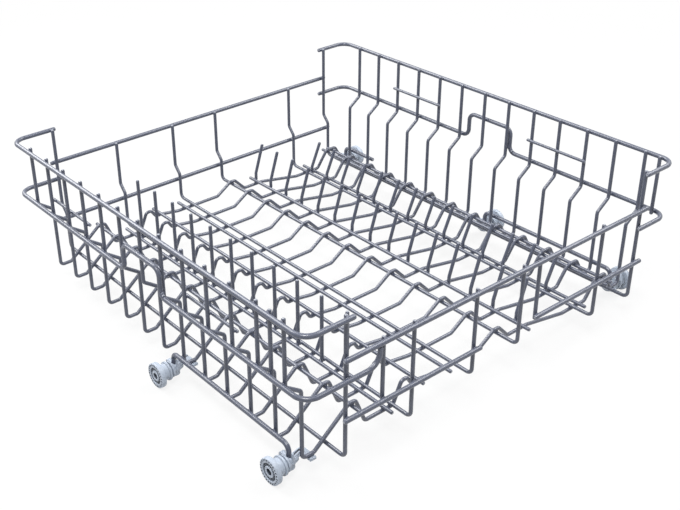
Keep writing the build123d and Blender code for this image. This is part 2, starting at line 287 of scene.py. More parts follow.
def surface_group() -> bpy.types.NodeTree:
    """Draw the shader group that gives a coat or a moulding its mottle, sheen and grain.

    Returns:
        A group whose outputs are a colour, a roughness and a height that vary over the surface.
    """
    tree = bpy.data.node_groups.new("surface_grain", "ShaderNodeTree")
    for label, kind in (
        ("Color", "NodeSocketColor"),
        ("Mottle", "NodeSocketFloat"),
        ("Mottle Scale", "NodeSocketFloat"),
        ("Roughness", "NodeSocketFloat"),
        ("Roughness Spread", "NodeSocketFloat"),
        ("Grain Scale", "NodeSocketFloat"),
    ):
        tree.interface.new_socket(label, in_out="INPUT", socket_type=kind)
    tree.interface.new_socket("Color", in_out="OUTPUT", socket_type="NodeSocketColor")
    tree.interface.new_socket("Roughness", in_out="OUTPUT", socket_type="NodeSocketFloat")
    tree.interface.new_socket("Height", in_out="OUTPUT", socket_type="NodeSocketFloat")
    sketch = NodeSketch(tree)
    given = sketch.add("NodeGroupInput").outputs
    place = sketch.add("ShaderNodeTexCoord").outputs["Object"]
    patches = sketch.add(
        "ShaderNodeTexNoise",
        {"Vector": place, "Scale": given["Mottle Scale"], **MOTTLE_NOISE},
    ).outputs["Fac"]
    grain = sketch.add(
        "ShaderNodeTexNoise",
        {"Vector": place, "Scale": given["Grain Scale"], **GRAIN_NOISE},
    ).outputs["Fac"]
    swing = sketch.math("SUBTRACT", patches, NOISE_MIDDLE)
    shade = sketch.math("ADD", sketch.math("MULTIPLY", swing, given["Mottle"]), FULL)
    toned = sketch.add(
        "ShaderNodeVectorMath",
        {0: given["Color"], "Scale": shade},
        operation="SCALE",
    ).outputs["Vector"]
    grain_swing = sketch.math("SUBTRACT", grain, NOISE_MIDDLE)
    spread = sketch.math("MULTIPLY", grain_swing, given["Roughness Spread"])
    sheen = sketch.math("ADD", spread, given["Roughness"])
    sketch.add("NodeGroupOutput", {"Color": toned, "Roughness": sheen, "Height": grain})
    return tree


@dataclass(frozen=True)
class Finish:
    """A coloured surface with its own mottle, sheen and grain, and a colour for painted light or shade;
    lengths are in metres.
    """

    name: str
    color: tuple[float, float, float]
    painted_light_and_shade_color: tuple[float, float, float]
    mottle: float
    mottle_scale: float
    roughness: float
    roughness_spread: float
    grain_scale: float
    grain_depth: float
    coat: float
    coat_roughness: float

    def material(self, surface: bpy.types.NodeTree) -> bpy.types.Material:
        """Draw the finish as a material.

        Args:
            surface: the shared shader group.

        Returns:
            The material.
        """
        material = bpy.data.materials.new(self.name)
        sketch = blank_sketch(material)
        grain = sketch.add("ShaderNodeGroup", node_tree=surface)
        for label, value in (
            ("Color", (*self.color, FULL)),
            ("Mottle", self.mottle),
            ("Mottle Scale", self.mottle_scale),
            ("Roughness", self.roughness),
            ("Roughness Spread", self.roughness_spread),
            ("Grain Scale", self.grain_scale),
        ):
            grain.inputs[label].default_value = value
        # Painted light or shade: mix in the painted colour where the mesh's mark says so.
        accent = sketch.add("ShaderNodeAttribute", attribute_name=PAINTED_LIGHT_AND_SHADE)
        shaded = sketch.add(
            "ShaderNodeMixRGB",
            {
                "Fac": accent.outputs["Fac"],
                "Color1": grain.outputs["Color"],
                "Color2": (*self.painted_light_and_shade_color, FULL),
            },
        )
        bump = sketch.add(
            "ShaderNodeBump",
            {"Height": grain.outputs["Height"], "Strength": FULL, "Distance": self.grain_depth},
        )
        shader = sketch.add(
            "ShaderNodeBsdfPrincipled",
            {
                "Base Color": shaded.outputs["Color"],
                "Roughness": grain.outputs["Roughness"],
                "Normal": bump.outputs["Normal"],
                "Coat Weight": self.coat,
                "Coat Roughness": self.coat_roughness,
            },
        )
        sketch.add("ShaderNodeOutputMaterial", {"Surface": shader.outputs["BSDF"]})
        return material


COATED_WIRE = Finish(
    name="coated_wire_grey",
    color=(0.060, 0.069, 0.102),
    # Painted highlight: the lighter colour painted on the rounded wire ends.
    painted_light_and_shade_color=(0.26, 0.275, 0.31),
    mottle=0.25,
    mottle_scale=60.0,
    roughness=0.36,
    roughness_spread=0.08,
    grain_scale=900.0,
    grain_depth=0.000008,
    coat=0.4,
    coat_roughness=0.22,
)
MOULDED_PLASTIC = Finish(
    name="moulded_plastic_blue_grey",
    color=(0.34, 0.385, 0.455),
    # Painted shade: the shade colour painted into grooves, recesses, the roller's bore and the carriers'
    # holes and channel.
    painted_light_and_shade_color=(0.045, 0.055, 0.075),
    mottle=0.12,
    mottle_scale=180.0,
    roughness=0.42,
    roughness_spread=0.10,
    grain_scale=1600.0,
    grain_depth=0.00003,
    coat=0.0,
    coat_roughness=0.2,
)


@dataclass
class Wire:
    """One bent wire: its centre line and its radius."""

    points: list[Vector]
    radius: float


class WireReader:
    """Reads the wires of a CAD node back from their many-sided sections."""

    flat_angle: float = 0.1
    side_stretch: float = 1.3

    def __init__(self, node: str) -> None:
        """Merge a copy of the node's triangles."""
        self.shell = merged(node)
        self.shell.verts.index_update()

    def is_sharp(self, edge: bmesh.types.BMEdge) -> bool:
        """Tell an edge between two flats from one that only splits a flat."""
        return edge.calc_face_angle(math.pi) > self.flat_angle

    def ends(self) -> list[set[bmesh.types.BMVert]]:
        """Find the cut ends of the wires.

        Returns:
            The corners of each flat whose sides are all equally long.
        """
        found = []
        seen: set[bmesh.types.BMFace] = set()
        for start in self.shell.faces:
            if start in seen:
                continue
            flat: set[bmesh.types.BMFace] = set()
            fresh = {start}
            while fresh:
                flat |= fresh
                seams = {edge for face in fresh for edge in face.edges if not self.is_sharp(edge)}
                fresh = {face for edge in seams for face in edge.link_faces} - flat
            seen |= flat
            sides = [edge.calc_length() for face in flat for edge in face.edges if self.is_sharp(edge)]
            if max(sides) < min(sides) * self.side_stretch:
                found.append({vert for face in flat for vert in face.verts})
        return found

    def sections(self, end: set[bmesh.types.BMVert]) -> list[set[bmesh.types.BMVert]]:
        """Walk along a wire from one of its ends.

        Args:
            end: the corners of that end.

        Returns:
            The corners of each section, up to the other end.
        """
        found = [end]
        seen = set(end)
        while found[-1]:
            edges = {edge for vert in found[-1] for edge in vert.link_edges if self.is_sharp(edge)}
            found.append({vert for edge in edges for vert in edge.verts} - seen)
            seen |= found[-1]
        return found[:-1]

    @staticmethod
    def corners(section: set[bmesh.types.BMVert]) -> list[Vector]:
        """List a section's corners in the order of the mesh, so that each run adds them alike."""
        return [vert.co for vert in sorted(section, key=lambda vert: vert.index)]

    def wires(self) -> list[Wire]:
        """Read every wire of the node.

        Returns:
            The wires, with one point for each section.
        """
        found = []
        ends = self.ends()
        while ends:
            sections = self.sections(ends.pop())
            ends.remove(sections[-1])
            outlines = [self.corners(section) for section in sections]
            centres = [sum(outline, Vector((0, 0, 0))) / len(outline) for outline in outlines]
            sides = len(outlines[0])
            corner_radius = sum((corner - centres[0]).length for corner in outlines[0]) / sides
            found.append(Wire(centres, corner_radius * math.cos(math.pi / sides)))
        self.shell.free()
        return found


@dataclass
class WireFamily:
    """Wires of one kind, bent and coated together; lengths are in millimetres."""

    name: str
    nodes: tuple[str, ...]
    bend_radius: float
    end_rounding: float
    bend_steps: int = 5
    sides: int = 14

    def __post_init__(self) -> None:
        """Read the wires from the CAD frame."""
        self.wires = [wire for node in self.nodes for wire in WireReader(node).wires()]

    def paths(self) -> bpy.types.Mesh:
        """Draw the centre lines as a mesh of edges.

        Returns:
            The mesh, with each wire's radius on its points.
        """
        points: list[Vector] = []
        edges: list[tuple[int, int]] = []
        gauges: list[float] = []
        for wire in self.wires:
            first = len(points)
            points += wire.points
            gauges += [wire.radius] * len(wire.points)
            edges += [(first + step, first + step + 1) for step in range(len(wire.points) - 1)]
        mesh = bpy.data.meshes.new(f"{self.name}_paths")
        mesh.from_pydata(points, edges, [])
        mesh.attributes.new(GAUGE, "FLOAT", "POINT").data.foreach_set("value", gauges)
        return mesh

    def build(self, tree: bpy.types.NodeTree, coat: bpy.types.Material) -> bpy.types.Object:
        """Bend and coat the wires.

        Args:
            tree: the tree that makes wires from paths.
            coat: their finish.

        Returns:
            The finished piece.
        """
        piece = new_piece(self.name, self.paths())
        add_tree(
            piece,
            tree,
            {
                "Bend Radius": self.bend_radius * MM,
                "Bend Steps": self.bend_steps,
                "Sides": self.sides,
                "End Rounding": self.end_rounding * MM,
                "Coat": coat,
            },
        )
        settle(piece)
        seat(piece, BASKET_BODY, self.nodes)
        return piece


@dataclass
class WireWork:
    """All bent wires of the basket and the coat that runs together where they are welded."""

    coat: bpy.types.Material
    weld_reach: float = 0.6 * MM
    weld_spacing: float = 4.0 * MM
    weld_parallel: float = 0.95
    bead_width: float = 1.12
    bead_height: float = 0.55
    bead_segments: int = 8
    bead_rings: int = 5
    side_corners: float = 4.0
    least_spread: float = 1e-18
    end_steps: tuple[tuple[float, float], ...] = ((0.5, 0.906), (0.3, 0.795), (0.2, 0.417))

    def families(self) -> list[WireFamily]:
        """List the wires by kind.

        Returns:
            The families, from the rails to the feet.
        """
        both = ("left", "right")
        long_places = ("corner_left", "tine_1", "middle", "hump_3", "tine_3", "corner_right")
        near_low = (f"near_low_rail_{side}" for side in both)
        side_rails = (f"side_{level}_rail_{side}" for level in ("top", "mid") for side in both)
        end_bars = (f"{bar}_{side}" for bar in ("near_upright", "corner_strut") for side in both)
        carrier_places = ("left", "right", "far_right")
        kinds = (
            ("side_rails", 13.0, 2.0, side_rails),
            ("end_rails", 13.0, 2.0, ("far_top_rail", "near_top_rail", "far_low_rail", *near_low)),
            ("cross_wires", 4.5, 1.5, (f"cross_wire_{number:02d}" for number in range(1, 14))),
            ("long_wires", 6.0, 1.5, (f"long_wire_{place}" for place in long_places)),
            ("floor_rods", 6.0, 1.5, (f"floor_rod_{number:02d}" for number in range(1, 9))),
            ("plate_tines", 6.0, 1.8, (f"tine_row_{number}" for number in range(1, 4))),
            ("wall_ties", 6.0, 1.4, (f"wall_ties_{side}" for side in both)),
            ("end_bars", 6.0, 1.5, end_bars),
            ("carrier_wires", 5.0, 0.5, (f"carrier_wire_{place}" for place in carrier_places)),
        )
        return [
            WireFamily(f"coated_{kind}", tuple(nodes), bend_radius, end_rounding)
            for kind, bend_radius, end_rounding, nodes in kinds
        ]

    def wire_tree(self) -> bpy.types.NodeTree:
        """Draw the tree that bends round wires along their paths and rounds their cut ends.

        Returns:
            The tree.
        """
        sketch, given = geometry_sketch(
            "bent_wire",
            {
                "Bend Radius": "NodeSocketFloat",
                "Bend Steps": "NodeSocketInt",
                "Sides": "NodeSocketInt",
                "End Rounding": "NodeSocketFloat",
                "Coat": "NodeSocketMaterial",
            },
        )
        paths = sketch.add("GeometryNodeMeshToCurve", {"Mesh": given["Geometry"]}).outputs["Curve"]
        length = sketch.add("GeometryNodeSplineLength").outputs["Length"]
        stop = sketch.math("SUBTRACT", length, given["End Rounding"])
        trimmed = sketch.add(
            "GeometryNodeTrimCurve",
            {"Curve": paths, 4: given["End Rounding"], 5: stop},
            mode="LENGTH",
        )
        bent = sketch.add(
            "GeometryNodeFilletCurve",
            {
                "Curve": trimmed.outputs["Curve"],
                "Count": given["Bend Steps"],
                "Radius": given["Bend Radius"],
                "Limit Radius": True,
            },
            mode="POLY",
        )
        section = sketch.add(
            "GeometryNodeCurvePrimitiveCircle",
            {"Resolution": given["Sides"], "Radius": FULL},
        )
        swept = sketch.add(
            "GeometryNodeCurveToMesh",
            {
                "Curve": bent.outputs["Curve"],
                "Profile Curve": section.outputs["Curve"],
                "Scale": sketch.attribute(GAUGE),
                "Fill Caps": True,
            },
        )
        corners = sketch.add("GeometryNodeInputMeshFaceNeighbors").outputs["Vertex Count"]
        mesh = swept.outputs["Mesh"]
        end = sketch.math("GREATER_THAN", corners, self.side_corners)
        for rise, narrowing in self.end_steps:
            pushed = sketch.add(
                "GeometryNodeExtrudeMesh",
                {
                    "Mesh": mesh,
                    "Selection": end,
                    "Offset Scale": sketch.math("MULTIPLY", given["End Rounding"], rise),
                    "Individual": True,
                },
                mode="FACES",
            )
            end = pushed.outputs["Top"]
            mesh = sketch.add(
                "GeometryNodeScaleElements",
                {"Geometry": pushed.outputs["Mesh"], "Selection": end, "Scale": narrowing},
                domain="FACE",
            ).outputs["Geometry"]
        # Painted highlight: the rounded ends get the lighter painted colour.
        cut = sketch.accent(sketch.smooth(mesh), end, "POINT")
        return sketch.close(cut, given["Coat"])

    def weld_tree(self) -> bpy.types.NodeTree:
        """Draw the tree that sets a bead of coat at each weld.

        Returns:
            The tree.
        """
        sketch, given = geometry_sketch(
            "weld_beads",
            {"Width": "NodeSocketFloat", "Height": "NodeSocketFloat", "Coat": "NodeSocketMaterial"},
        )
        bead = sketch.add(
            "GeometryNodeMeshUVSphere",
            {"Segments": self.bead_segments, "Rings": self.bead_rings, "Radius": FULL},
        )
        axis = sketch.attribute(WELD_AXIS, "FLOAT_VECTOR")
        turn = sketch.add("FunctionNodeAlignRotationToVector", {"Vector": axis}, axis="Z")
        shape = sketch.add(
            "ShaderNodeCombineXYZ",
            {"X": given["Width"], "Y": given["Width"], "Z": given["Height"]},
        )
        scale = sketch.add(
            "ShaderNodeVectorMath",
            {0: shape.outputs["Vector"], "Scale": sketch.attribute(WELD_SIZE)},
            operation="SCALE",
        )
        beads = sketch.add(
            "GeometryNodeInstanceOnPoints",
            {
                "Points": given["Geometry"],
                "Instance": sketch.smooth(bead.outputs["Mesh"]),
                "Rotation": turn.outputs["Rotation"],
                "Scale": scale.outputs["Vector"],
            },
        )
        return sketch.close(beads.outputs["Instances"], given["Coat"])

    def welds(self, wires: list[Wire]) -> bpy.types.Mesh:
        """Find where wires touch.

        Args:
            wires: all wires of the basket.

        Returns:
            A mesh of points, each with the axis between the two wires and the thinner wire's radius.
        """
        starts = np.array([point for wire in wires for point in wire.points[:-1]])
        ends = np.array([point for wire in wires for point in wire.points[1:]])
        owner = np.array([number for number, wire in enumerate(wires) for _ in wire.points[1:]])
        radius = np.array([wire.radius for wire in wires])[owner]
        run = ends - starts
        first, second = np.triu_indices(len(starts), 1)
        apart = owner[first] != owner[second]
        first, second = first[apart], second[apart]
        along, across = run[first], run[second]
        offset = starts[first] - starts[second]
        along_sq = (along**2).sum(1)
        across_sq = (across**2).sum(1)
        both = (along * across).sum(1)
        along_offset = (along * offset).sum(1)
        across_offset = (across * offset).sum(1)
        spread = along_sq * across_sq - both**2
        crossing = spread > along_sq * across_sq * (1 - self.weld_parallel**2)
        meeting = (both * across_offset - along_offset * across_sq) / np.maximum(spread, self.least_spread)
        share = np.clip(np.where(crossing, meeting, 0), 0, 1)
        other = np.clip((both * share + across_offset) / across_sq, 0, 1)
        share = np.clip((both * other - along_offset) / along_sq, 0, 1)
        near = starts[first] + along * share[:, None]
        far = starts[second] + across * other[:, None]
        distance = np.linalg.norm(far - near, axis=1)
        gap = distance - radius[first] - radius[second]
        touching = np.flatnonzero(crossing & (gap < self.weld_reach))
        places: list[tuple[int, int, Vector]] = []
        axes: list[Vector] = []
        sizes: list[float] = []
        for pair in touching[np.argsort(gap[touching])]:
            axis = Vector(far[pair] - near[pair]).normalized()
            place = Vector(near[pair]) + axis * (radius[first[pair]] + gap[pair] / 2)
            size = float(min(radius[first[pair]], radius[second[pair]]))
            inset = size * self.bead_width
            place = Vector(
                min(max(middle, lowest + inset), highest - inset)
                for middle, lowest, highest in zip(place, *cad_box)
            )
            pair_owner = (int(owner[first[pair]]), int(owner[second[pair]]))
            if all(
                pair_owner != (one, two) or (place - known).length > self.weld_spacing
                for one, two, known in places
            ):
                places.append((*pair_owner, place))
                axes.append(axis)
                sizes.append(size)
        mesh = bpy.data.meshes.new("weld_places")
        mesh.from_pydata([place for _, _, place in places], [], [])
        flat_axes = [value for axis in axes for value in axis]
        mesh.attributes.new(WELD_AXIS, "FLOAT_VECTOR", "POINT").data.foreach_set("vector", flat_axes)
        mesh.attributes.new(WELD_SIZE, "FLOAT", "POINT").data.foreach_set("value", sizes)
        return mesh

    def build(self) -> None:
        """Build every family of wires and the welds between them."""
        wire_tree = self.wire_tree()
        families = self.families()
        for family in families:
            family.build(wire_tree, self.coat)
        wires = [wire for family in families for wire in family.wires]
        beads = new_piece("coated_weld_beads", self.welds(wires))
        sizes = {"Width": self.bead_width, "Height": self.bead_height, "Coat": self.coat}
        add_tree(beads, self.weld_tree(), sizes)
        settle(beads)
        seat(beads, BASKET_BODY, ())


class Side(Enum):
    """The wall that a roller stands under; its value points inwards along X."""

    LEFT = 1
    RIGHT = -1


@dataclass(frozen=True)
class Corner:
    """A corner of a turned section, with how much shade is painted on its rounding and the flat after it.
    """

    depth: float
    radius: float
    rounding: float = 0.0
    edge_painted_shade: float = 0.0
    flat_painted_shade: float = 0.0


@dataclass(frozen=True)
class PressedRow:
    """A ring of small recesses between two radii; pitch and length count steps round the ring."""

    inner: float
    outer: float
    depth: float
    pitch: int
    length: int


@dataclass
class Roller:
    """A flanged roller; lengths are in millimetres, depths from its outer face."""

    number: int
    side: Side
    plastic: bpy.types.Material
    flange_radius: float = 13.5
    flange_width: float = 5.5
    drum_radius: float = 8.5
    lip_start: float = 12.7
    lip_radius: float = 10.0
    width: float = 14.9
    bore_radius: float = 3.35
    hub_radius: float = 5.75
    groove_radius: float = 9.0
    rib_depth: float = 0.9
    dots: PressedRow = PressedRow(inner=10.5, outer=12.4, depth=1.5, pitch=6, length=3)
    pockets: PressedRow = PressedRow(inner=6.15, outer=8.6, depth=1.6, pitch=8, length=6)
    # Painted shade laid on the groove's edges, the groove, the pockets, the drum's corners and the bore.
    edge_painted_shade: float = 0.6
    groove_painted_shade: float = 0.5
    pocket_painted_shade: float = 0.4
    drum_painted_shade: float = 0.35
    bore_painted_shade: float = 1.0
    crisp_angle: float = 50.0
    draft: float = 0.92
    steps: int = 144
    edge_steps: int = 3

    def corners(self) -> list[Corner]:
        """List the section's corners round the hub and back through the bore.

        Returns:
            The corners, in order.
        """
        ribs = self.rib_depth
        return [
            Corner(0.0, self.bore_radius, 0.35),
            Corner(0.0, self.hub_radius, 0.3, flat_painted_shade=self.groove_painted_shade),
            Corner(ribs, self.hub_radius, 0.2, self.edge_painted_shade, self.groove_painted_shade),
            Corner(ribs, self.pockets.inner, flat_painted_shade=self.pocket_painted_shade),
            Corner(ribs, self.pockets.outer, flat_painted_shade=self.groove_painted_shade),
            Corner(ribs, self.groove_radius, 0.2, self.edge_painted_shade, self.groove_painted_shade),
            Corner(0.0, self.groove_radius, 0.3),
            Corner(0.0, self.dots.inner),
            Corner(0.0, self.dots.outer),
            Corner(0.0, self.flange_radius, 0.9),
            Corner(self.flange_width, self.flange_radius, 0.9),
            Corner(self.flange_width, self.drum_radius, 0.6, self.drum_painted_shade),
            Corner(self.lip_start, self.drum_radius, 0.4, self.drum_painted_shade),
            Corner(self.lip_start, self.lip_radius, 0.4),
            Corner(self.width, self.lip_radius, 0.5),
            Corner(self.width, self.bore_radius, 0.35, self.groove_painted_shade, self.bore_painted_shade),
        ]

    def section(self) -> list[Corner]:
        """Round the section's corners.

        Returns:
            Plain corners, each with the painted shade of the strip that follows it.
        """
        corners = self.corners()
        points: list[Corner] = []
        for index, corner in enumerate(corners):
            if corner.rounding == 0.0:
                points.append(corner)
                continue
            here = Vector((corner.depth, corner.radius))
            before, after = corners[index - 1], corners[(index + 1) % len(corners)]
            back = (Vector((before.depth, before.radius)) - here).normalized()
            ahead = (Vector((after.depth, after.radius)) - here).normalized()
            centre = here + (back + ahead) * corner.rounding
            for step in range(self.edge_steps + 1):
                turn = step / self.edge_steps * math.pi / 2
                point = centre - (ahead * math.cos(turn) + back * math.sin(turn)) * corner.rounding
                shade = corner.edge_painted_shade if step < self.edge_steps else corner.flat_painted_shade
                points.append(Corner(point.x, point.y, flat_painted_shade=shade))
        return points

    def recess(self, corner: Corner, step: int) -> float:
        """Give the depth of the recess that starts at a point of the section.

        Args:
            corner: the point of the section.
            step: the step round the ring.

        Returns:
            The depth in metres, or 0 where nothing is pressed in.
        """
        for row in (self.dots, self.pockets):
            if corner.radius == row.inner and step % row.pitch < row.length:
                return row.depth * MM
        return 0.0

    def turned(self) -> bpy.types.Mesh:
        """Turn the section about the axle.

        Returns:
            The closed mesh, with its painted shade and the depth of its recess on each face.
        """
        node = f"roller_{self.number}"
        low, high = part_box(node)
        outer_x = low.x if self.side is Side.LEFT else high.x
        centre = (low + high) / 2
        section = self.section()
        shell = bmesh.new()
        accent = shell.faces.layers.float.new(PAINTED_LIGHT_AND_SHADE)
        recess = shell.faces.layers.float.new(RECESS)
        rings = []
        for step in range(self.steps):
            turn = 2 * math.pi * step / self.steps
            spoke = Vector((0, math.cos(turn), math.sin(turn))) * MM
            rings.append(
                [
                    shell.verts.new(
                        (
                            outer_x + self.side.value * corner.depth * MM,
                            centre.y + spoke.y * corner.radius,
                            centre.z + spoke.z * corner.radius,
                        )
                    )
                    for corner in section
                ]
            )
        for step in range(self.steps):
            ring, following = rings[step], rings[(step + 1) % self.steps]
            for index, corner in enumerate(section):
                after = (index + 1) % len(section)
                face = shell.faces.new((ring[index], ring[after], following[after], following[index]))
                # Painted shade of the strip.
                face[accent] = corner.flat_painted_shade
                face[recess] = self.recess(corner, step)
        bmesh.ops.recalc_face_normals(shell, faces=shell.faces)
        return plain_mesh(shell, node)

    @staticmethod
    def recess_tree() -> bpy.types.NodeTree:
        """Draw the tree that presses recesses into the marked faces and paints shade on their floors and
        walls.

        Returns:
            The tree.
        """
        sketch, given = geometry_sketch(
            "pressed_recesses",
            {"Draft": "NodeSocketFloat", "Crisp Angle": "NodeSocketFloat", "Plastic": "NodeSocketMaterial"},
        )
        depth = sketch.attribute(RECESS)
        pressed = sketch.add(
            "GeometryNodeExtrudeMesh",
            {
                "Mesh": given["Geometry"],
                "Selection": sketch.math("GREATER_THAN", depth, 0.0),
                "Offset Scale": sketch.math("MULTIPLY", depth, -1.0),
                "Individual": False,
            },
            mode="FACES",
        )
        drafted = sketch.add(
            "GeometryNodeScaleElements",
            {
                "Geometry": pressed.outputs["Mesh"],
                "Selection": pressed.outputs["Top"],
                "Scale": given["Draft"],
            },
            domain="FACE",
        )
        # Painted shade: the pressed floors and walls get the full shade colour.
        painted_shade_faces = sketch.math("MAXIMUM", pressed.outputs["Top"], pressed.outputs["Side"])
        painted_shade = sketch.accent(drafted.outputs["Geometry"], painted_shade_faces, "FACE")
        fold = sketch.add("GeometryNodeInputMeshEdgeAngle").outputs["Unsigned Angle"]
        crisp = sketch.add(
            "GeometryNodeSetShadeSmooth",
            {
                "Geometry": sketch.smooth(painted_shade),
                "Selection": sketch.math("GREATER_THAN", fold, given["Crisp Angle"]),
                "Shade Smooth": False,
            },
            domain="EDGE",
        )
        return sketch.close(crisp.outputs["Geometry"], given["Plastic"])

    def build(self, tree: bpy.types.NodeTree) -> None:
        """Turn the roller, press its recesses and seat it on its axle.

        Args:
            tree: the tree that presses the recesses.
        """
        piece = new_piece(f"moulded_roller_{self.number}", self.turned())
        crisp_angle = math.radians(self.crisp_angle)
        add_tree(piece, tree, {"Draft": self.draft, "Crisp Angle": crisp_angle, "Plastic": self.plastic})
        settle(piece)
        node = f"roller_{self.number}"
        seat(piece, node, (node,))


@dataclass
class RollerCarrier:
    """A moulded carrier between a leg of the basket and its roller; lengths are in millimetres."""

    number: int
    side: Side
    plastic: bpy.types.Material
    leg_to_roller: float = 7.9
    lug_reach: float = 8.0
    drill_reach: float = 8.0
    lug_rise: float = 2.0
    hole_radius: float = 1.5
    cone_reach: float = 9.0
    cone_hole_radius: float = 2.1
    cone_hole_depth: float = 3.5
    hole_sides: int = 20
    channel_start: float = 5.6
    channel_width: float = 2.0
    channel_depth: float = 1.3
    clip_start: float = 11.0
    clip_end: float = 18.0
    channel_overrun: float = 1.0
    arm_rise: float = 3.0
    voxel: float = 0.4
    smoothing: float = 0.5
    smoothing_steps: int = 3
    painted_shade_margin: float = 0.25

    def __post_init__(self) -> None:
        """Find the leg's centre at the height of the axle."""
        low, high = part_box(f"roller_{self.number}")
        inner_x = high.x if self.side is Side.LEFT else low.x
        self.roller_span = (low.x, high.x)
        self.axle = Vector((inner_x + self.side.value * self.leg_to_roller * MM, *((low + high) / 2).yz))
        self.clip_top = self.find_clip_top()

    def find_clip_top(self) -> float:
        """Find the pad under the cross wire.

        Returns:
            The height of its top above the axle, in millimetres.
        """
        corners = [vert.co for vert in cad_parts[f"roller_carrier_{self.number}"].data.vertices]
        far = max(corners, key=lambda corner: (corner.x * self.side.value, corner.z))
        return (far.z - self.axle.z) / MM

    def local(self, point: Vector) -> Vector:
        """Turn a point into millimetres from the axle, with X inwards."""
        offset = (point - self.axle) / MM
        return Vector((offset.x * self.side.value, offset.y, offset.z))

    def place(self, inwards: float, along: float, up: float) -> Vector:
        """Turn millimetres from the axle, with X inwards, into a point."""
        return self.axle + Vector((inwards * self.side.value, along, up)) * MM

    def arm_top(self, inwards: float) -> float:
        """Give the height of the arm's top.

        Args:
            inwards: the distance from the axle.

        Returns:
            The height above the axle.
        """
        share = min(inwards / self.clip_start, 1.0)
        return self.arm_rise + (self.clip_top - self.arm_rise) * share

    def prism(self, shell: bmesh.types.BMesh, outline: list[Vector], shift: Vector) -> None:
        """Add a closed prism.

        Args:
            shell: the mesh that takes it.
            outline: the corners of its first end.
            shift: the way from its first end to its last.
        """
        base = shell.faces.new([shell.verts.new(corner) for corner in outline])
        top = bmesh.ops.extrude_face_region(shell, geom=[base], use_keep_orig=True)["geom"]
        raised = [item for item in top if isinstance(item, bmesh.types.BMVert)]
        bmesh.ops.translate(shell, verts=raised, vec=shift)

    def drill(self, shell: bmesh.types.BMesh, start: Vector, radius: float, length: float) -> None:
        """Add a round bar along X.

        Args:
            shell: the mesh that takes it.
            start: its outer end, in millimetres from the axle.
            radius: its radius.
            length: its length inwards.
        """
        turns = [2 * math.pi * step / self.hole_sides for step in range(self.hole_sides)]
        ring = [
            self.place(start.x, start.y + radius * math.cos(turn), start.z + radius * math.sin(turn))
            for turn in turns
        ]
        self.prism(shell, ring, Vector((length * self.side.value * MM, 0, 0)))

    def cutter(self) -> bpy.types.Object:
        """Make the two holes and the channel along the arm as solids to cut away.

        Returns:
            An object that holds them all.
        """
        shell = bmesh.new()
        reach = self.drill_reach
        self.drill(shell, Vector((-reach, self.lug_reach, self.lug_rise)), self.hole_radius, 2 * reach)
        cone_end = self.cone_reach - self.cone_hole_depth
        self.drill(shell, Vector((cone_end, 0, 0)), self.cone_hole_radius, reach)
        stations = (self.channel_start, self.clip_start, self.clip_end + self.channel_overrun)
        upper = [(inwards, self.arm_top(inwards) + self.channel_depth) for inwards in stations]
        lower = [(inwards, self.arm_top(inwards) - self.channel_depth) for inwards in reversed(stations)]
        outline = [self.place(inwards, -self.channel_width / 2, up) for inwards, up in upper + lower]
        self.prism(shell, outline, Vector((0, self.channel_width * MM, 0)))
        bmesh.ops.recalc_face_normals(shell, faces=shell.faces)
        return new_piece("carrier_cutter", plain_mesh(shell, "carrier_cutter"))

    def is_painted_shade(self, point: Vector) -> bool:
        """Tell whether a point gets painted shade, as it is hidden from the light.

        Args:
            point: the point, in metres.

        Returns:
            Whether it lies in the roller's bore, in a hole or in the arm's channel.
        """
        if self.roller_span[0] < point.x < self.roller_span[1]:
            return True
        inwards, along, up = self.local(point)
        if math.hypot(along, up) < self.cone_hole_radius + self.painted_shade_margin:
            return inwards > self.cone_reach - self.cone_hole_depth - self.painted_shade_margin
        if math.hypot(along - self.lug_reach, up - self.lug_rise) < self.hole_radius + self.painted_shade_margin:
            return abs(inwards) < self.drill_reach
        in_channel = self.channel_start < inwards and abs(along) < self.channel_width / 2
        return in_channel and up > self.arm_top(inwards) - self.channel_depth - self.painted_shade_margin

    @staticmethod
    def ordered(mesh: bpy.types.Mesh) -> bpy.types.Mesh:
        """Rebuild a cut mesh in a fixed order, since the cut lists its corners and faces in any order.

        Args:
            mesh: the cut mesh.

        Returns:
            The same shape, with its corners sorted by place and its faces by corner.
        """
        places = [tuple(vert.co) for vert in mesh.vertices]
        order = sorted(range(len(places)), key=places.__getitem__)
        rank = {old: new for new, old in enumerate(order)}
        faces = []
        for polygon in mesh.polygons:
            ring = [rank[index] for index in polygon.vertices]
            first = ring.index(min(ring))
            faces.append(ring[first:] + ring[:first])
        plain = bpy.data.meshes.new(mesh.name)
        plain.from_pydata([places[old] for old in order], [], sorted(faces))
        return plain

    def build(self) -> None:
        """Cut and soften a merged copy of the CAD carrier into one moulding and seat it on the basket."""
        node = f"roller_carrier_{self.number}"
        piece = new_piece(f"moulded_carrier_{self.number}", plain_mesh(merged(node), node))
        cutter = self.cutter()
        cut = piece.modifiers.new("cut", "BOOLEAN")
        cut.operation = "DIFFERENCE"
        cut.solver = "EXACT"
        cut.object = cutter
        settle(piece)
        bpy.data.objects.remove(cutter)
        piece.data = self.ordered(piece.data)
        remesh = piece.modifiers.new("moulding", "REMESH")
        remesh.mode = "VOXEL"
        remesh.voxel_size = self.voxel * MM
        remesh.use_smooth_shade = True
        soften = piece.modifiers.new("soft_edges", "SMOOTH")
        soften.factor = self.smoothing
        soften.iterations = self.smoothing_steps
        settle(piece)
        # Painted shade in the roller's bore, the holes and the arm's channel.
        painted_shade = [float(self.is_painted_shade(vert.co)) for vert in piece.data.vertices]
        piece.data.attributes.new(PAINTED_LIGHT_AND_SHADE, "FLOAT", "POINT").data.foreach_set("value", painted_shade)
        piece.data.materials.clear()
        piece.data.materials.append(self.plastic)
        seat(piece, BASKET_BODY, (node,))


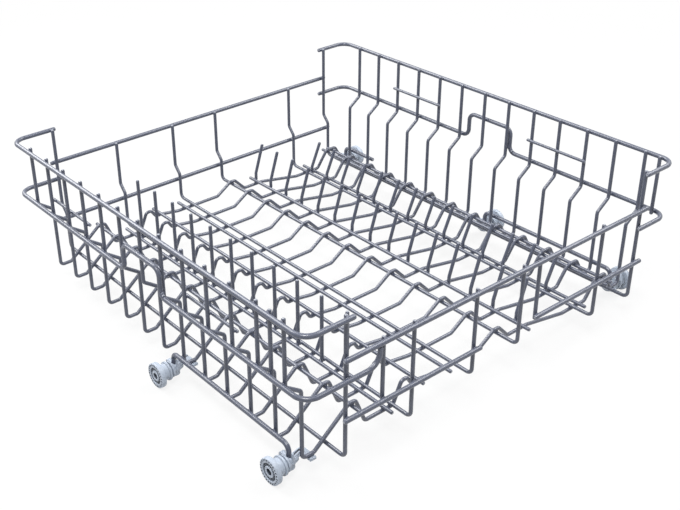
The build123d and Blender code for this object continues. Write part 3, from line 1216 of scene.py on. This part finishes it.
@dataclass(frozen=True)
class Lamp:
    """A square soft light; lengths are in metres, power in watts."""

    name: str
    place: tuple[float, float, float]
    size: float
    power: float

    def hang(self, target: tuple[float, float, float]) -> None:
        """Hang the light.

        Args:
            target: the point that it faces.
        """
        data = bpy.data.lights.new(self.name, "AREA")
        data.shape = "SQUARE"
        data.size = self.size
        data.energy = self.power
        lamp = bpy.data.objects.new(self.name, data)
        lamp.location = self.place
        aim = Vector(target) - Vector(self.place)
        lamp.rotation_euler = aim.to_track_quat("-Z", "Y").to_euler()
        bpy.context.scene.collection.objects.link(lamp)


@dataclass
class Studio:
    """The camera, the pale floor and the soft lights; lengths are in metres."""

    image_width: int = 680
    image_height: int = 510
    focal_pixels: float = 1064.86
    centre_pixel: tuple[float, float] = (267.6, 229.24)
    sensor: float = 36.0
    eye: tuple[float, float, float] = (-0.6841, -0.7880, 0.6517)
    right: tuple[float, float, float] = (0.78738, -0.61583, -0.02818)
    up: tuple[float, float, float] = (0.31539, 0.36313, 0.87674)
    back: tuple[float, float, float] = (-0.52969, -0.69921, 0.48015)
    floor_size: float = 8.0
    floor_drop: float = 0.0003
    floor_white: float = 0.85
    shadow_reach: float = 0.35
    white_reach: float = 1.3
    floor_gray: float = 0.55
    floor_roughness: float = 0.9
    ambient: float = 0.16
    far_clip: float = 50.0
    target: tuple[float, float, float] = (0.0, 0.0, 0.08)
    lamps: tuple[Lamp, ...] = (
        Lamp("key_light", place=(-0.9, -0.7, 2.0), size=0.7, power=44.0),
        Lamp("fill_light", place=(1.3, -0.4, 1.7), size=1.4, power=40.0),
        Lamp("rim_light", place=(-0.4, 1.5, 1.6), size=1.5, power=64.0),
    )

    def camera(self) -> None:
        """Set up the camera at the photograph's angle."""
        data = bpy.data.cameras.new("photo_view")
        data.sensor_fit = "HORIZONTAL"
        data.sensor_width = self.sensor
        data.lens = self.focal_pixels / self.image_width * self.sensor
        data.shift_x = (self.image_width / 2 - self.centre_pixel[0]) / self.image_width
        data.shift_y = (self.centre_pixel[1] - self.image_height / 2) / self.image_width
        data.clip_end = self.far_clip
        camera = bpy.data.objects.new("photo_view", data)
        axes = Matrix((self.right, self.up, self.back)).transposed().to_4x4()
        camera.matrix_world = Matrix.Translation(self.eye) @ axes
        bpy.context.scene.collection.objects.link(camera)
        bpy.context.scene.camera = camera

    @staticmethod
    def seen(sketch: NodeSketch) -> bpy.types.NodeSocket:
        """Add a mask of the rays that look at the room instead of lighting the basket.

        Args:
            sketch: the tree that takes it.

        Returns:
            A value that is 1 for camera, glossy and transmission rays.
        """
        rays = sketch.add("ShaderNodeLightPath").outputs
        direct = sketch.math("MAXIMUM", rays["Is Camera Ray"], rays["Is Glossy Ray"])
        return sketch.math("MAXIMUM", direct, rays["Is Transmission Ray"])

    def world(self) -> None:
        """Light the room evenly, and show it as white."""
        world = bpy.data.worlds.new("white_room")
        sketch = blank_sketch(world)
        room = sketch.add("ShaderNodeBackground", {"Color": WHITE, "Strength": self.ambient})
        white = sketch.add("ShaderNodeBackground", {"Color": WHITE, "Strength": FULL})
        mixed = sketch.add(
            "ShaderNodeMixShader",
            {0: self.seen(sketch), 1: room.outputs["Background"], 2: white.outputs["Background"]},
        )
        sketch.add("ShaderNodeOutputWorld", {"Surface": mixed.outputs["Shader"]})
        bpy.context.scene.world = world

    def floor(self) -> None:
        """Lay a pale floor that keeps a light shadow."""
        half = self.floor_size / 2
        mesh = bpy.data.meshes.new("studio_floor")
        corners = [(x * half, y * half, -self.floor_drop) for x, y in ((-1, -1), (1, -1), (1, 1), (-1, 1))]
        mesh.from_pydata(corners, [], [(0, 1, 2, 3)])
        floor = new_piece("studio_floor", mesh)
        material = bpy.data.materials.new("pale_floor")
        sketch = blank_sketch(material)
        paper = sketch.add(
            "ShaderNodeBsdfPrincipled",
            {
                "Base Color": (self.floor_gray, self.floor_gray, self.floor_gray, FULL),
                "Roughness": self.floor_roughness,
                "Specular IOR Level": 0.0,
            },
        )
        white = sketch.add("ShaderNodeEmission", {"Color": WHITE, "Strength": FULL})
        place = sketch.add("ShaderNodeTexCoord").outputs["Object"]
        reach = sketch.add("ShaderNodeVectorMath", {0: place}, operation="LENGTH").outputs["Value"]
        fade = sketch.add(
            "ShaderNodeMapRange",
            {
                "Value": reach,
                "From Min": self.shadow_reach,
                "From Max": self.white_reach,
                "To Min": self.floor_white,
                "To Max": FULL,
            },
            interpolation_type="SMOOTHSTEP",
        )
        share = sketch.math("MULTIPLY", self.seen(sketch), fade.outputs["Result"])
        mixed = sketch.add(
            "ShaderNodeMixShader",
            {0: share, 1: paper.outputs["BSDF"], 2: white.outputs["Emission"]},
        )
        sketch.add("ShaderNodeOutputMaterial", {"Surface": mixed.outputs["Shader"]})
        mesh.materials.append(material)

    def build(self) -> None:
        """Set up the whole studio."""
        self.camera()
        self.world()
        self.floor()
        for lamp in self.lamps:
            lamp.hang(self.target)
        bpy.context.scene.view_settings.view_transform = "Standard"


def main() -> None:
    """Build the studio, the wire work, the rollers and their carriers."""
    logging.basicConfig(level=logging.INFO, format="%(name)s: %(message)s")
    Studio().build()
    surface = surface_group()
    WireWork(COATED_WIRE.material(surface)).build()
    plastic = MOULDED_PLASTIC.material(surface)
    recess_tree = Roller.recess_tree()
    sides = (Side.LEFT, Side.LEFT, Side.RIGHT, Side.RIGHT, Side.RIGHT)
    for number, side in enumerate(sides, start=1):
        Roller(number, side, plastic).build(recess_tree)
        RollerCarrier(number, side, plastic).build()


if __name__ == "__main__":
    main()
